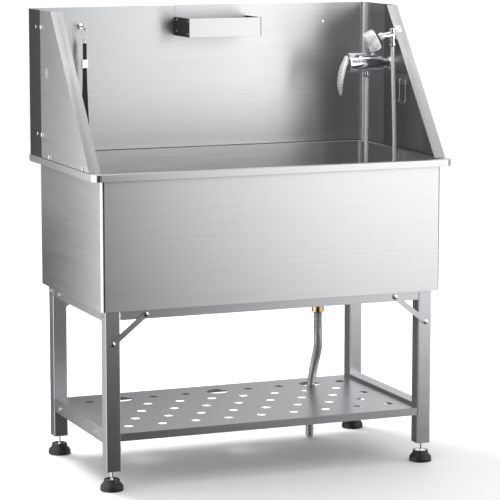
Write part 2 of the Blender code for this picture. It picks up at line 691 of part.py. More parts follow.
def handset():
    tilt = math.radians(HEAD_TILT)
    yaw = math.radians(HEAD_YAW)
    spray = Vector((-math.cos(tilt) * math.cos(yaw), math.cos(tilt) * math.sin(yaw), -math.sin(tilt)))
    head = (
        (0, 0.015), (0.033, 0.015), (HEAD_RADIUS, 0.012), (HEAD_RADIUS, -0.012), (0.030, -0.018), (0, -0.018),
    )
    turned("handset_head", head, HEAD_CENTRE, spray, chrome, 24)
    comb = ((0, 0.020), (0.029, 0.020), (0.032, 0.0153), (0, 0.0153))
    turned("handset_comb", comb, HEAD_CENTRE, spray, grey_plastic, 24)
    shaft = (HANDSET_X, HANDSET_Y, 0)
    top = HANDSET_NUT_TOP + 0.044
    cone = (
        (0, top + 0.003), (0.007, top + 0.002), (0.011, top), (0.0075, HANDSET_NUT_TOP + GAP),
        (0, HANDSET_NUT_TOP + GAP),
    )
    neck = turned("handset_neck", cone, shaft, (0, 0, 1), chrome, 20)
    behind = Vector(HEAD_CENTRE) - 0.0185 * spray
    bend = Vector(HEAD_CENTRE) - 0.0320 * spray
    bar = wire("neck_bar", [behind, bend, Vector((HANDSET_X, HANDSET_Y, top - 0.0165))], 0.0098, chrome, 3)
    boolean(neck, as_mesh(bar, "neck_bar_solid", chrome), "UNION")
    foot = HANDSET_NUT_TOP - 0.012
    nut = ((0, HANDSET_NUT_TOP), (0.0105, HANDSET_NUT_TOP), (0.011, foot + 0.003), (0.009, foot), (0, foot))
    turned("handset_hose_nut", nut, shaft, (0, 0, 1), chrome, 12)
    # The bracket: a plate on the slanted flange, an arm and an open fork around the handset's neck.
    plate_z = 1.372
    plate_x = SIDE_OUTER - FLANGE_WIDTH + 0.013
    base = block("handset_bracket", (-0.011, -0.013, -0.001), (0.011, 0.013, 0.001), chrome)
    out = flange_point(0, plate_z, 1.0) - flange_point(0, plate_z, 0.0)
    aim(base, flange_point(plate_x, plate_z, GAP + 0.001), out)
    base.rotation_euler = (math.atan(1 / SIDE_SLOPE), 0, 0)
    fork_middle = FORK_Z + FORK_HEIGHT / 2
    arm_points = [
        flange_point(plate_x, plate_z, 0.0012), flange_point(plate_x, plate_z, 0.009),
        flange_point(plate_x - 0.014, plate_z - 0.014, 0.008),
        Vector((HANDSET_X + FORK_BORE + FORK_WALL, HANDSET_Y, fork_middle)),
    ]
    boolean(base, as_mesh(wire("arm", arm_points, 0.003, chrome), "bracket_arm", chrome), "UNION")
    wall = FORK_BORE + FORK_WALL
    ring_profile = (
        (FORK_BORE, FORK_Z + FORK_HEIGHT), (wall, FORK_Z + FORK_HEIGHT), (wall, FORK_Z), (FORK_BORE, FORK_Z),
    )
    boolean(base, turned("fork_ring", ring_profile, shaft, (0, 0, 1), chrome, 20, ring=True), "UNION")
    mouth_low = (HANDSET_X - FORK_BORE, HANDSET_Y - 0.03, FORK_Z - 0.01)
    mouth_high = (HANDSET_X + FORK_BORE, HANDSET_Y, FORK_Z + FORK_HEIGHT + 0.01)
    boolean(base, block("fork_mouth", mouth_low, mouth_high, chrome))


def hook_rack():
    face = RETURN_OUTER
    back = face - PANEL_SHEET
    block("hook_rack_plate", (back, RACK_Y[0], RACK_Z[0]), (face, RACK_Y[1], RACK_Z[1]), brushed, 0.0004)
    top = RACK_Z[1] - 0.014
    for name, y in (("front", -0.012), ("rear", 0.033)):
        points = [
            Vector((back - GAP, y, top)), Vector((back - 0.004, y, top)), Vector((back - 0.007, y, top - 0.003)),
            Vector((back - 0.007, y, top - HOOK_DROP + 0.012)),
        ]
        for step in range(1, 9):
            angle = math.radians(180 * step / 8)
            points.append(Vector((
                back - 0.007 - 0.010 * (1 - math.cos(angle)), y, top - HOOK_DROP + 0.012 - 0.010 * math.sin(angle),
            )))
        points.append(points[-1] + Vector((-0.002, 0, 0.010)))
        wire(f"hook_wire_{name}", points, HOOK_WIRE, chrome)


def soap_box():
    """A folded trough whose back goes up and over the back panel's top edge."""
    half = SOAP_SHEET / 2
    rear = BACK_INNER - GAP - half
    over = PANEL_TOP + GAP + half
    behind = BACK_OUTER + GAP + half
    x = SOAP_X[0]
    path = [
        (x, SOAP_FRONT + half, SOAP_BASE + SOAP_WALL), (x, SOAP_FRONT + half, SOAP_BASE + half),
        (x, rear, SOAP_BASE + half), (x, rear, over), (x, behind, over), (x, behind, over - 0.022),
    ]
    folded_sheet("soap_box", path, (SOAP_X[1] - SOAP_X[0], 0, 0), SOAP_SHEET, brushed)
    for side, outer, inner in (("left", SOAP_X[0] - GAP - SOAP_END, SOAP_X[0] - GAP),
                               ("right", SOAP_X[1] + GAP, SOAP_X[1] + GAP + SOAP_END)):
        low = (outer, SOAP_FRONT, SOAP_BASE)
        high = (inner, BACK_INNER - GAP, SOAP_BASE + SOAP_WALL)
        block(f"soap_box_end_{side}", low, high, black_plastic)


def leash():
    eye = Vector((LEASH_X, LEASH_Y, LEASH_Z))
    bm = bmesh.new()
    for step in range(20):
        spin = Matrix.Rotation(math.radians(18 * step), 4, "X")
        ring = []
        for around in range(8):
            turn = math.radians(45 * around)
            local = Vector((EYE_WIRE * math.sin(turn), EYE_RADIUS + EYE_WIRE * math.cos(turn), 0))
            ring.append(bm.verts.new(eye + spin @ local))
    bm.verts.ensure_lookup_table()
    for step in range(20):
        for around in range(8):
            a = step * 8 + around
            b = step * 8 + (around + 1) % 8
            c = (step + 1) % 20 * 8 + (around + 1) % 8
            d = (step + 1) % 20 * 8 + around
            bm.faces.new([bm.verts[i] for i in (a, b, c, d)])
    bmesh.ops.recalc_face_normals(bm, faces=bm.faces)
    bolt = from_bmesh("leash_eyebolt", bm, chrome)
    base = BACK_INNER - GAP
    shank = (
        (0, RIM_Y - 0.0005), (0.003, RIM_Y - 0.0005), (0.003, base), (0.010, base), (0.010, base - 0.002),
        (0.003, base - 0.003), (0.003, LEASH_Y + EYE_RADIUS - 0.0005), (0, LEASH_Y + EYE_RADIUS - 0.0005),
    )
    boolean(bolt, turned("eyebolt_shank", shank, (LEASH_X, 0, LEASH_Z), (0, 1, 0), chrome, 12), "UNION")
    # The snap hook: its top bar rests in the eye, and its body runs down to the swivel.
    bar = LEASH_Z - EYE_RADIUS + EYE_WIRE + HOOK_BAR + GAP
    half = 0.006
    hook_foot = bar - 0.036
    hook_path = [
        (half, bar - 0.015), (half, bar - 0.005), (half - 0.002, bar - 0.0015), (half - 0.0045, bar),
        (-half + 0.0045, bar), (-half + 0.002, bar - 0.0015), (-half, bar - 0.005), (-half, hook_foot + 0.010),
        (-half + 0.002, hook_foot + 0.004), (-0.001, hook_foot),
    ]
    points = [Vector((LEASH_X + x, LEASH_Y, z)) for x, z in hook_path]
    hook = as_mesh(wire("hook_bar", points, HOOK_BAR, chrome), "leash_snap_hook", chrome)
    barrel = (
        (0, hook_foot + 0.002), (0.0042, hook_foot + 0.001), (0.0042, hook_foot - 0.005), (0, hook_foot - 0.005),
    )
    boolean(hook, turned("hook_barrel", barrel, (LEASH_X, LEASH_Y, 0), (0, 0, 1), chrome, 12), "UNION")
    gate_points = [
        Vector((LEASH_X + half, LEASH_Y, bar - 0.015 - 0.001)), Vector((LEASH_X + half, LEASH_Y, bar - 0.026)),
        Vector((LEASH_X + half - 0.0012, LEASH_Y, hook_foot + 0.005)),
    ]
    wire("leash_gate", gate_points, 0.0011, chrome)
    swivel_top = hook_foot - 0.005 - GAP
    swivel = (
        (0, swivel_top), (0.0036, swivel_top), (0.0036, swivel_top - 0.002), (0.0055, swivel_top - 0.0035),
        (0.0055, swivel_top - 0.0065), (0, swivel_top - 0.0065),
    )
    turned("leash_swivel", swivel, (LEASH_X, LEASH_Y, 0), (0, 0, 1), chrome, 12)
    # The strap hangs from the swivel through the buckle, goes round its loop and comes back to the buckle.
    strap_top = swivel_top - 0.0065 - GAP
    route = (
        (0.2820, strap_top), (0.2820, 1.3050), (0.2820, 1.2800), (0.2818, 1.2500), (0.2790, 1.2000),
        (0.2730, 1.1400), (0.2660, 1.0900), (0.2610, 1.0500), (0.2620, 1.0200), (0.2720, 1.0000),
        (0.2850, 0.9950), (0.2980, 1.0020), (0.3070, 1.0240), (0.3075, 1.0530), (0.3020, 1.0930),
        (0.2950, 1.1420), (0.2890, 1.2000), (0.2862, 1.2500), (0.2860, 1.2780),
    )
    strip = smooth_route([Vector((LEASH_X - STRAP_WIDTH / 2, y, z)) for y, z in route], 44)
    folded_sheet("leash_strap", strip, (STRAP_WIDTH, 0, 0), STRAP_THICK, webbing)
    half_slot = STRAP_WIDTH / 2 + 0.0004
    half_buckle = half_slot + 0.0026
    low = (LEASH_X - half_buckle, LEASH_Y - 0.0055, 1.254)
    high = (LEASH_X + half_buckle, LEASH_Y + 0.0055, 1.281)
    buckle = block("leash_buckle", low, high, chrome)
    slot_low = (LEASH_X - half_slot, LEASH_Y - 0.0038, 1.24)
    slot_high = (LEASH_X + half_slot, LEASH_Y + 0.0038, 1.30)
    boolean(buckle, block("buckle_slot", slot_low, slot_high, chrome))


basin()
back_panel()
for panel_side, panel_sign in SIDES:
    side_panel(panel_side, panel_sign)
frame()
shelf()
braces()
feet()
drain()
mixer()
mixer_lever()
shower_hose()
handset()
hook_rack()
soap_box()
leash()
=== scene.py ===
import json
import math

import bmesh
import bpy
from mathutils import Matrix, Vector


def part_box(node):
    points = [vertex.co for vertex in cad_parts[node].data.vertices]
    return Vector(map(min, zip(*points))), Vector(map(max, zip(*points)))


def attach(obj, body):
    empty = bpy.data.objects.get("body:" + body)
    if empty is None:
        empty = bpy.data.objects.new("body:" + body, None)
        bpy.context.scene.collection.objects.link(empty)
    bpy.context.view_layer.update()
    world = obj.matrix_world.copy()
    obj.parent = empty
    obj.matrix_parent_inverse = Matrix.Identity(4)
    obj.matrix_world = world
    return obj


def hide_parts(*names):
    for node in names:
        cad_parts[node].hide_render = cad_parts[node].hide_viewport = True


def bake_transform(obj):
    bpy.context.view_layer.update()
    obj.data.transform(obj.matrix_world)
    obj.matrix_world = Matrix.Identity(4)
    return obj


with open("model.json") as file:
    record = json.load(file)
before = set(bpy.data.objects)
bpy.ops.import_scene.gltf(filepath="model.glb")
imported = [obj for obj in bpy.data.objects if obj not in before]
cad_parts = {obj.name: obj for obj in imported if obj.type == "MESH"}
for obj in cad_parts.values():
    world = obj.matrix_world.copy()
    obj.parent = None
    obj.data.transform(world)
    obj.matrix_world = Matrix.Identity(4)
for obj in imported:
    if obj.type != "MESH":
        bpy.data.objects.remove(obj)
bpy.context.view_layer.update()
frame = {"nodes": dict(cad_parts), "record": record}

# Camera: a long lens from the front left, a little above the rim, so the sides hardly converge.
camera_data = bpy.data.cameras.new("camera")
camera_data.lens = 175.0
camera_data.sensor_width = 36.0
camera = bpy.data.objects.new("camera", camera_data)
camera.location = (-2.8554, -7.1656, 1.8259)
camera.rotation_euler = (math.radians(90 - 8.466), 0, math.radians(-22.014))
bpy.context.scene.collection.objects.link(camera)
bpy.context.scene.camera = camera
bpy.context.scene.view_settings.view_transform = "Standard"


# Shower hose: a chromed spiral-wound tube. It hangs from the mixer's outlet, lies round the basin's floor
# and comes up to the handset.
def smooth_route(points, count):
    """Evenly spaced points on a smooth curve through the route's own points."""
    points = [Vector(point) for point in points]
    ends = [2 * points[0] - points[1], *points, 2 * points[-1] - points[-2]]
    fine = []
    for a, b, c, d in zip(ends, ends[1:], ends[2:], ends[3:]):
        for step in range(12):
            t = step / 12
            fine.append(0.5 * (2 * b + (c - a) * t + (2 * a - 5 * b + 4 * c - d) * t ** 2
                               + (3 * b - a - 3 * c + d) * t ** 3))
    fine.append(points[-1])
    reach = [0.0]
    for first, second in zip(fine, fine[1:]):
        reach.append(reach[-1] + (second - first).length)
    spaced = []
    at = 0
    for number in range(count):
        wanted = reach[-1] * number / (count - 1)
        while at < len(fine) - 2 and reach[at + 1] < wanted:
            at += 1
        share = (wanted - reach[at]) / (reach[at + 1] - reach[at])
        spaced.append(fine[at].lerp(fine[at + 1], share))
    return spaced


def object_from(bm, name):
    """A finished mesh, linked into the scene."""
    mesh = bpy.data.meshes.new(name)
    bm.to_mesh(mesh)
    bm.free()
    made = bpy.data.objects.new(name, mesh)
    bpy.context.scene.collection.objects.link(made)
    return made


def ribbed_tube(name, points, radii, sides):
    """A closed tube through the points, whose radius runs through the list again and again."""
    bm = bmesh.new()
    side = Vector((0, 1, 0))
    rings = []
    for number, point in enumerate(points):
        before = points[max(number - 1, 0)]
        after = points[min(number + 1, len(points) - 1)]
        along = (after - before).normalized()
        side = (side - side.dot(along) * along).normalized()
        across = along.cross(side)
        radius = radii[number % len(radii)]
        ring = []
        for step in range(sides):
            angle = 2 * math.pi * step / sides
            ring.append(bm.verts.new(point + radius * (math.cos(angle) * side + math.sin(angle) * across)))
        rings.append(ring)
    for lower, upper in zip(rings, rings[1:]):
        for i in range(sides):
            bm.faces.new((lower[i - 1], lower[i], upper[i], upper[i - 1]))
    bm.faces.new(list(reversed(rings[0])))
    bm.faces.new(rings[-1])
    return object_from(bm, name)


GRAIN = (3.0, 700.0, 700.0)  # of the fine lines in sheet metal, along and across them
BAND_SHARE = 0.2  # how much finer the lines are than the wider streaks


def metal(name, colour, roughness, fine=0.0, streak=0.0, brushed=0.0):
    """Bare metal whose fine lines and wider streaks lie level; brushing spreads its highlights up and down."""
    made = bpy.data.materials.new(name)
    made.use_nodes = True
    nodes = made.node_tree.nodes
    links = made.node_tree.links
    shader = nodes["Principled BSDF"]
    shader.inputs["Metallic"].default_value = 1.0
    shader.inputs["Anisotropic"].default_value = brushed
    shader.inputs["Anisotropic Rotation"].default_value = 0.25
    place = nodes.new("ShaderNodeTexCoord")
    normal = nodes.new("ShaderNodeNewGeometry")
    parts = nodes.new("ShaderNodeSeparateXYZ")
    links.new(normal.outputs["Normal"], parts.inputs[0])
    facing = nodes.new("ShaderNodeMath")
    facing.operation = "ABSOLUTE"
    links.new(parts.outputs["X"], facing.inputs[0])
    sideways = nodes.new("ShaderNodeMath")
    sideways.operation = "GREATER_THAN"
    links.new(facing.outputs[0], sideways.inputs[0])
    sideways.inputs[1].default_value = 0.7
    noises = []
    for scale, detail in ((1.0, 3.0), (BAND_SHARE, 2.0)):
        pair = []
        for order in ((0, 1, 2), (1, 0, 2)):
            stretch = nodes.new("ShaderNodeMapping")
            stretch.inputs["Scale"].default_value = [
                GRAIN[i] * (scale if GRAIN[i] > 50 else 1.0) for i in order
            ]
            links.new(place.outputs["Object"], stretch.inputs["Vector"])
            noise = nodes.new("ShaderNodeTexNoise")
            noise.inputs["Scale"].default_value = 1.0
            noise.inputs["Detail"].default_value = detail
            links.new(stretch.outputs[0], noise.inputs["Vector"])
            pair.append(noise)
        mix = nodes.new("ShaderNodeMix")
        links.new(sideways.outputs[0], mix.inputs["Factor"])
        links.new(pair[0].outputs["Fac"], mix.inputs["A"])
        links.new(pair[1].outputs["Fac"], mix.inputs["B"])
        noises.append(mix)
    worn = nodes.new("ShaderNodeMapRange")
    links.new(noises[1].outputs["Result"], worn.inputs["Value"])
    worn.inputs["From Min"].default_value = 0.3
    worn.inputs["From Max"].default_value = 0.7
    worn.inputs["To Min"].default_value = roughness * (1 - 1.2 * streak)
    worn.inputs["To Max"].default_value = roughness * (1 + 1.2 * streak)
    links.new(worn.outputs[0], shader.inputs["Roughness"])
    tone = nodes.new("ShaderNodeMapRange")
    links.new(noises[1].outputs["Result"], tone.inputs["Value"])
    tone.inputs["From Min"].default_value = 0.3
    tone.inputs["From Max"].default_value = 0.7
    tone.inputs["To Min"].default_value = 1 - streak
    tone.inputs["To Max"].default_value = 1 + 0.6 * streak
    lit = nodes.new("ShaderNodeVectorMath")
    lit.operation = "SCALE"
    lit.inputs[0].default_value = colour
    links.new(tone.outputs[0], lit.inputs["Scale"])
    links.new(lit.outputs[0], shader.inputs["Base Color"])
    if fine:
        bump = nodes.new("ShaderNodeBump")
        bump.inputs["Strength"].default_value = fine
        bump.inputs["Distance"].default_value = 0.0004
        links.new(noises[0].outputs["Result"], bump.inputs["Height"])
        links.new(bump.outputs[0], shader.inputs["Normal"])
    return made


def finish(piece, body, slot_name, look, *replaced):
    """Gives a finished piece its look and its place among the frame's bodies."""
    piece.data.materials.clear()
    piece.data.materials.append(look)
    if body:
        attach(piece, body)
    if replaced:
        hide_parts(*replaced)


chrome = metal("polished_chrome", (0.86, 0.87, 0.89), 0.07, 0.0, 0.10)
hose_chrome = metal("hose_chrome", (0.84, 0.85, 0.87), 0.16, 0.0, 0.10)
satin_chrome = metal("satin_chrome", (0.86, 0.87, 0.88), 0.28, 0.0, 0.06)
for pale in (hose_chrome, satin_chrome):
    pale.node_tree.nodes["Principled BSDF"].inputs["Metallic"].default_value = 0.5
hose_route = (
    (0.5075, 0.1240, 1.2085), (0.5075, 0.1240, 1.1700), (0.5074, 0.1240, 1.0800),
    (0.5068, 0.1240, 0.9600), (0.5050, 0.1240, 0.8400), (0.5010, 0.1240, 0.7300),
    (0.4930, 0.1220, 0.6500), (0.4810, 0.1130, 0.5960), (0.4700, 0.0900, 0.5730),
    (0.4660, 0.0580, 0.5690), (0.4720, 0.0270, 0.5720), (0.4870, 0.0030, 0.5920),
    (0.5070, -0.0120, 0.6400), (0.5270, -0.0170, 0.7150), (0.5400, -0.0150, 0.8050),
    (0.5465, -0.0110, 0.8900), (0.5480, -0.0080, 0.9700), (0.5470, -0.0063, 1.0700),
    (0.5440, -0.0060, 1.1700), (0.5410, -0.0060, 1.2600), (0.5390, -0.0060, 1.3177),
)
winding = smooth_route(hose_route, 1500)
shower_hose = ribbed_tube("shower_hose_wound", winding, (0.0063, 0.0070, 0.0070), 12)
shower_hose.data.shade_smooth()
finish(shower_hose, None, "chrome", hose_chrome, "shower_hose")
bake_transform(shower_hose)

# Drain hose: grey corrugated pipe pushed into the drain's nut. It swings back under the basin and goes down
# through the shelf's large hole to the floor, where its end is cut square.
drain_route = (
    (0.2780, -0.0060, 0.4613), (0.2780, -0.0060, 0.4420), (0.2788, -0.0045, 0.4150),
    (0.2840, 0.0060, 0.3830), (0.2960, 0.0330, 0.3470), (0.3120, 0.0760, 0.3140),
    (0.3240, 0.1160, 0.2820), (0.3310, 0.1460, 0.2470), (0.3325, 0.1630, 0.2110),
    (0.3310, 0.1710, 0.1720), (0.3290, 0.1720, 0.1200), (0.3275, 0.1715, 0.0600), (0.3265, 0.1710, 0.0040),
)


def clouded(name, scale, dark, pale, roughness):
    """A plain material whose colour drifts softly between a dark and a pale tone."""
    made = bpy.data.materials.new(name)
    made.use_nodes = True
    nodes = made.node_tree.nodes
    links = made.node_tree.links
    place = nodes.new("ShaderNodeTexCoord")
    cloud = nodes.new("ShaderNodeTexNoise")
    cloud.inputs["Scale"].default_value = scale
    ramp = nodes.new("ShaderNodeValToRGB")
    ramp.color_ramp.elements[0].color = (*dark, 1)
    ramp.color_ramp.elements[1].color = (*pale, 1)
    links.new(place.outputs["Object"], cloud.inputs["Vector"])
    links.new(cloud.outputs["Fac"], ramp.inputs[0])
    links.new(ramp.outputs[0], nodes["Principled BSDF"].inputs["Base Color"])
    nodes["Principled BSDF"].inputs["Roughness"].default_value = roughness
    return made


corrugated = clouded("corrugated_grey", 30.0, (0.36, 0.37, 0.38), (0.55, 0.56, 0.57), 0.25)
pipe_shader = corrugated.node_tree.nodes["Principled BSDF"]
pipe_shader.inputs["Metallic"].default_value = 0.75
pipe_shader.inputs["Coat Weight"].default_value = 0.3
pipe_points = smooth_route(drain_route, 361)
corrugation = (0.0118, 0.0121, 0.0142, 0.0145, 0.0142, 0.0121)
drain_hose = ribbed_tube("drain_hose_corrugated", pipe_points, corrugation, 24)
drain_hose.data.shade_smooth()
finish(drain_hose, "root", "grey_plastic", corrugated, "drain_hose")

# Leash strap: flat black webbing. It hangs from the swivel through the slide buckle, goes round its loop
# and comes back to the buckle, where it is sewn.
STRAP_WIDTH = 0.013
STRAP_THICK = 0.0016
strap_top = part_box("leash_strap")[1][2]
strap_x = (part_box("leash_strap")[0][0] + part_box("leash_strap")[1][0]) / 2
strap_route = (
    (0.2820, strap_top), (0.2820, 1.3050), (0.2820, 1.2800), (0.2818, 1.2500), (0.2790, 1.2000),
    (0.2730, 1.1400), (0.2660, 1.0900), (0.2610, 1.0500), (0.2620, 1.0200), (0.2720, 1.0000),
    (0.2850, 0.9950), (0.2980, 1.0020), (0.3070, 1.0240), (0.3075, 1.0530), (0.3020, 1.0930),
    (0.2950, 1.1420), (0.2890, 1.2000), (0.2862, 1.2500), (0.2860, 1.2780),
)
strap_path = smooth_route([(strap_x, y, z) for y, z in strap_route], 260)
weave = bpy.data.materials.new("woven_webbing")
weave.use_nodes = True
weave_nodes = weave.node_tree.nodes
weave_links = weave.node_tree.links
weave_shader = weave_nodes["Principled BSDF"]
weave_shader.inputs["Roughness"].default_value = 0.75
weave_shader.inputs["Sheen Weight"].default_value = 0.3
weave_uv = weave_nodes.new("ShaderNodeUVMap")
weave_uv.uv_map = "along"
weave_ribs = weave_nodes.new("ShaderNodeTexWave")
weave_ribs.bands_direction = "DIAGONAL"
weave_ribs.inputs["Scale"].default_value = 400.0
weave_ribs.inputs["Distortion"].default_value = 0.4
weave_ramp = weave_nodes.new("ShaderNodeValToRGB")
weave_ramp.color_ramp.elements[0].color = (0.004, 0.004, 0.005, 1)
weave_ramp.color_ramp.elements[1].color = (0.022, 0.022, 0.024, 1)
weave_bump = weave_nodes.new("ShaderNodeBump")
weave_bump.inputs["Distance"].default_value = 0.0003
weave_links.new(weave_uv.outputs[0], weave_ribs.inputs["Vector"])
weave_links.new(weave_ribs.outputs["Fac"], weave_ramp.inputs[0])
weave_links.new(weave_ramp.outputs[0], weave_shader.inputs["Base Color"])
weave_links.new(weave_ribs.outputs["Fac"], weave_bump.inputs["Height"])
weave_links.new(weave_bump.outputs[0], weave_shader.inputs["Normal"])
ribbon = bmesh.new()
along_uv = ribbon.loops.layers.uv.new("along")
section = (
    (-1, -0.35), (-0.92, -0.5), (0.92, -0.5), (1, -0.35), (1, 0.35), (0.92, 0.5), (-0.92, 0.5), (-1, 0.35),
)
strap_rings = []
for number, point in enumerate(strap_path):
    onward = strap_path[min(number + 1, len(strap_path) - 1)] - strap_path[max(number - 1, 0)]
    face = Vector((1, 0, 0)).cross(onward.normalized())
    strap_rings.append([
        ribbon.verts.new(point + Vector((u * STRAP_WIDTH / 2, 0, 0)) + v * STRAP_THICK * face)
        for u, v in section
    ])
for number, (lower, upper) in enumerate(zip(strap_rings, strap_rings[1:])):
    for i in range(8):
        quad = ribbon.faces.new((lower[i - 1], lower[i], upper[i], upper[i - 1]))
        for loop, (step, corner) in zip(quad.loops, ((0, i - 1), (0, i), (1, i), (1, i - 1))):
            loop[along_uv].uv = (section[corner][0] * STRAP_WIDTH / 2, (number + step) * 0.0029)
ribbon.faces.new(list(reversed(strap_rings[0])))
ribbon.faces.new(strap_rings[-1])
bmesh.ops.recalc_face_normals(ribbon, faces=ribbon.faces)
leash_strap = object_from(ribbon, "leash_strap_woven")
finish(leash_strap, "strap", "webbing", weave, "leash_strap")

# Studio: a white floor and a white room. Large soft cards stand round the tub: the front one runs from dark at
# its lower left to bright at its upper right, which is what gives the steel its long even shading.
bpy.ops.object.select_all(action="DESELECT")
bpy.ops.mesh.primitive_plane_add(size=30, location=(0, 0, 0))
floor = bpy.context.object
floor.name = "studio_floor"
floor_look = bpy.data.materials.new("studio_white")
floor_look.use_nodes = True
floor_shader = floor_look.node_tree.nodes["Principled BSDF"]
floor_shader.inputs["Base Color"].default_value = (0.93, 0.93, 0.93, 1)
floor_shader.inputs["Roughness"].default_value = 0.6
floor.data.materials.append(floor_look)
floor.visible_glossy = False


def soft_card(name, corners, ramps):
    """A glowing card that only reflections see; each ramp gives the light's level along a direction."""
    mesh = bpy.data.meshes.new(name)
    mesh.from_pydata(corners, [], [(0, 1, 2, 3)])
    made = bpy.data.objects.new(name, mesh)
    bpy.context.scene.collection.objects.link(made)
    look = bpy.data.materials.new(name)
    look.use_nodes = True
    nodes = look.node_tree.nodes
    links = look.node_tree.links
    nodes.remove(nodes["Principled BSDF"])
    glow = nodes.new("ShaderNodeEmission")
    place = nodes.new("ShaderNodeTexCoord")
    level = None
    for direction, start, end, stops in ramps:
        along = nodes.new("ShaderNodeVectorMath")
        along.operation = "DOT_PRODUCT"
        links.new(place.outputs["Object"], along.inputs[0])
        along.inputs[1].default_value = direction
        share = nodes.new("ShaderNodeMapRange")
        links.new(along.outputs["Value"], share.inputs["Value"])
        share.inputs["From Min"].default_value = start
        share.inputs["From Max"].default_value = end
        ramp = nodes.new("ShaderNodeValToRGB")
        links.new(share.outputs[0], ramp.inputs[0])
        elements = ramp.color_ramp.elements
        elements[0].position = stops[0][0]
        elements[0].color = (stops[0][1], stops[0][1], stops[0][1], 1)
        elements[1].position = stops[-1][0]
        elements[1].color = (stops[-1][1], stops[-1][1], stops[-1][1], 1)
        for position, amount in stops[1:-1]:
            elements.new(position).color = (amount, amount, amount, 1)
        if level is None:
            level = ramp.outputs[0]
        else:
            product = nodes.new("ShaderNodeVectorMath")
            product.operation = "MULTIPLY"
            links.new(level, product.inputs[0])
            links.new(ramp.outputs[0], product.inputs[1])
            level = product.outputs[0]
    links.new(level, glow.inputs["Color"])
    glow.inputs["Strength"].default_value = 2.0
    links.new(glow.outputs[0], nodes["Material Output"].inputs["Surface"])
    mesh.materials.append(look)
    made.visible_camera = False
    made.visible_diffuse = False
    made.visible_shadow = False


soft_card(
    "front_card", ((-5, -2.6, -3), (6, -2.6, -3), (6, -2.6, 3), (-5, -2.6, 3)),
    (((1, 0, 3), -1.2, 4.0, ((0.0, 0.05), (0.29, 0.15), (0.44, 0.30), (0.57, 0.62), (0.72, 0.88), (0.9, 1.0))),
     ((1, 0, 0), -0.6, 1.3, ((0.0, 0.01), (0.26, 0.05), (0.42, 0.32), (0.53, 0.62), (1.0, 1.0)))),
)
soft_card(
    "left_card", ((-1.05, -0.8, -1.5), (-1.05, 4, -1.5), (-1.05, 4, 2.2), (-1.05, -0.8, 2.2)),
    (((0, 1, 0), 0.6, 1.8, ((0.0, 0.85), (0.2, 0.70), (0.42, 0.31), (0.7, 0.17), (1.0, 0.14))),
     ((0, 0, 1), -0.5, 0.4, ((0.0, 0.7), (1.0, 1.0)))),
)
soft_card(
    "rear_card", ((-2, 1.3, -0.8), (4, 1.3, -0.8), (4, 1.3, 0.62), (-2, 1.3, 0.62)),
    (((1, 0, 0), -0.2, 1.2, ((0.0, 0.03), (1.0, 0.44))),),
)
soft_card(
    "top_card", ((-2.5, -3, 2.5), (3, -3, 2.5), (3, 1.5, 2.5), (-2.5, 1.5, 2.5)),
    (((0, 1, 0), -1.05, -0.35, ((0.0, 0.12), (1.0, 0.58))),),
)
world = bpy.data.worlds.new("studio")
bpy.context.scene.world = world
world.use_nodes = True
world_nodes = world.node_tree.nodes
world_links = world.node_tree.links
room = world_nodes["Background"]
room.inputs["Color"].default_value = (1, 1, 1, 1)
room.inputs["Strength"].default_value = 1.15
mirrored = world_nodes.new("ShaderNodeBackground")
sky_place = world_nodes.new("ShaderNodeTexCoord")
sky_parts = world_nodes.new("ShaderNodeSeparateXYZ")
sky_height = world_nodes.new("ShaderNodeMapRange")
sky_height.inputs["From Min"].default_value = -1.0
sky_ramp = world_nodes.new("ShaderNodeValToRGB")
sky_ramp.color_ramp.elements[0].color = (0.12, 0.12, 0.12, 1)
sky_ramp.color_ramp.elements[1].color = (0.95, 0.95, 0.95, 1)
for position, amount in ((0.42, 0.32), (0.5, 0.55), (0.58, 0.85)):
    sky_ramp.color_ramp.elements.new(position).color = (amount, amount, amount, 1)
world_links.new(sky_place.outputs["Generated"], sky_parts.inputs[0])
world_links.new(sky_parts.outputs["Z"], sky_height.inputs["Value"])
world_links.new(sky_height.outputs[0], sky_ramp.inputs[0])
world_links.new(sky_ramp.outputs[0], mirrored.inputs["Color"])
sky_side = world_nodes.new("ShaderNodeMapRange")
sky_side.inputs["From Min"].default_value = -0.5
sky_side.inputs["From Max"].default_value = 0.3
sky_side.inputs["To Min"].default_value = 0.25
world_links.new(sky_parts.outputs["X"], sky_side.inputs["Value"])
world_links.new(sky_side.outputs[0], mirrored.inputs["Strength"])
path_kind = world_nodes.new("ShaderNodeLightPath")
room_mix = world_nodes.new("ShaderNodeMixShader")
world_links.new(path_kind.outputs["Is Glossy Ray"], room_mix.inputs[0])
world_links.new(room.outputs[0], room_mix.inputs[1])
world_links.new(mirrored.outputs[0], room_mix.inputs[2])
world_links.new(room_mix.outputs[0], world_nodes["World Output"].inputs["Surface"])
key_at = (-1.0, 2.4, 3.6)
key_data = bpy.data.lights.new("key", "AREA")
key_data.size = 2.0
key_data.energy = 160
key = bpy.data.objects.new("key", key_data)
key.location = key_at
key.rotation_euler = (Vector((0, 0, 0.6)) - Vector(key_at)).to_track_quat("-Z", "Y").to_euler()
key.visible_glossy = False
bpy.context.scene.collection.objects.link(key)

# Sheet and tube work: the basin, splash panels, legs, rails, shelf, braces, soap box and rack are cut and
# folded stainless sheet. Their cut edges are eased by hand, so each catches a thin line of light.
home = {}
for body_name, body_nodes in frame["record"]["behaviour"]["bodies"].items():
    for node_name in body_nodes:
        home[node_name] = body_name


def pick(piece):
    """Makes a piece the only selected one, and the active one."""
    bpy.ops.object.select_all(action="DESELECT")
    piece.select_set(True)
    bpy.context.view_layer.objects.active = piece


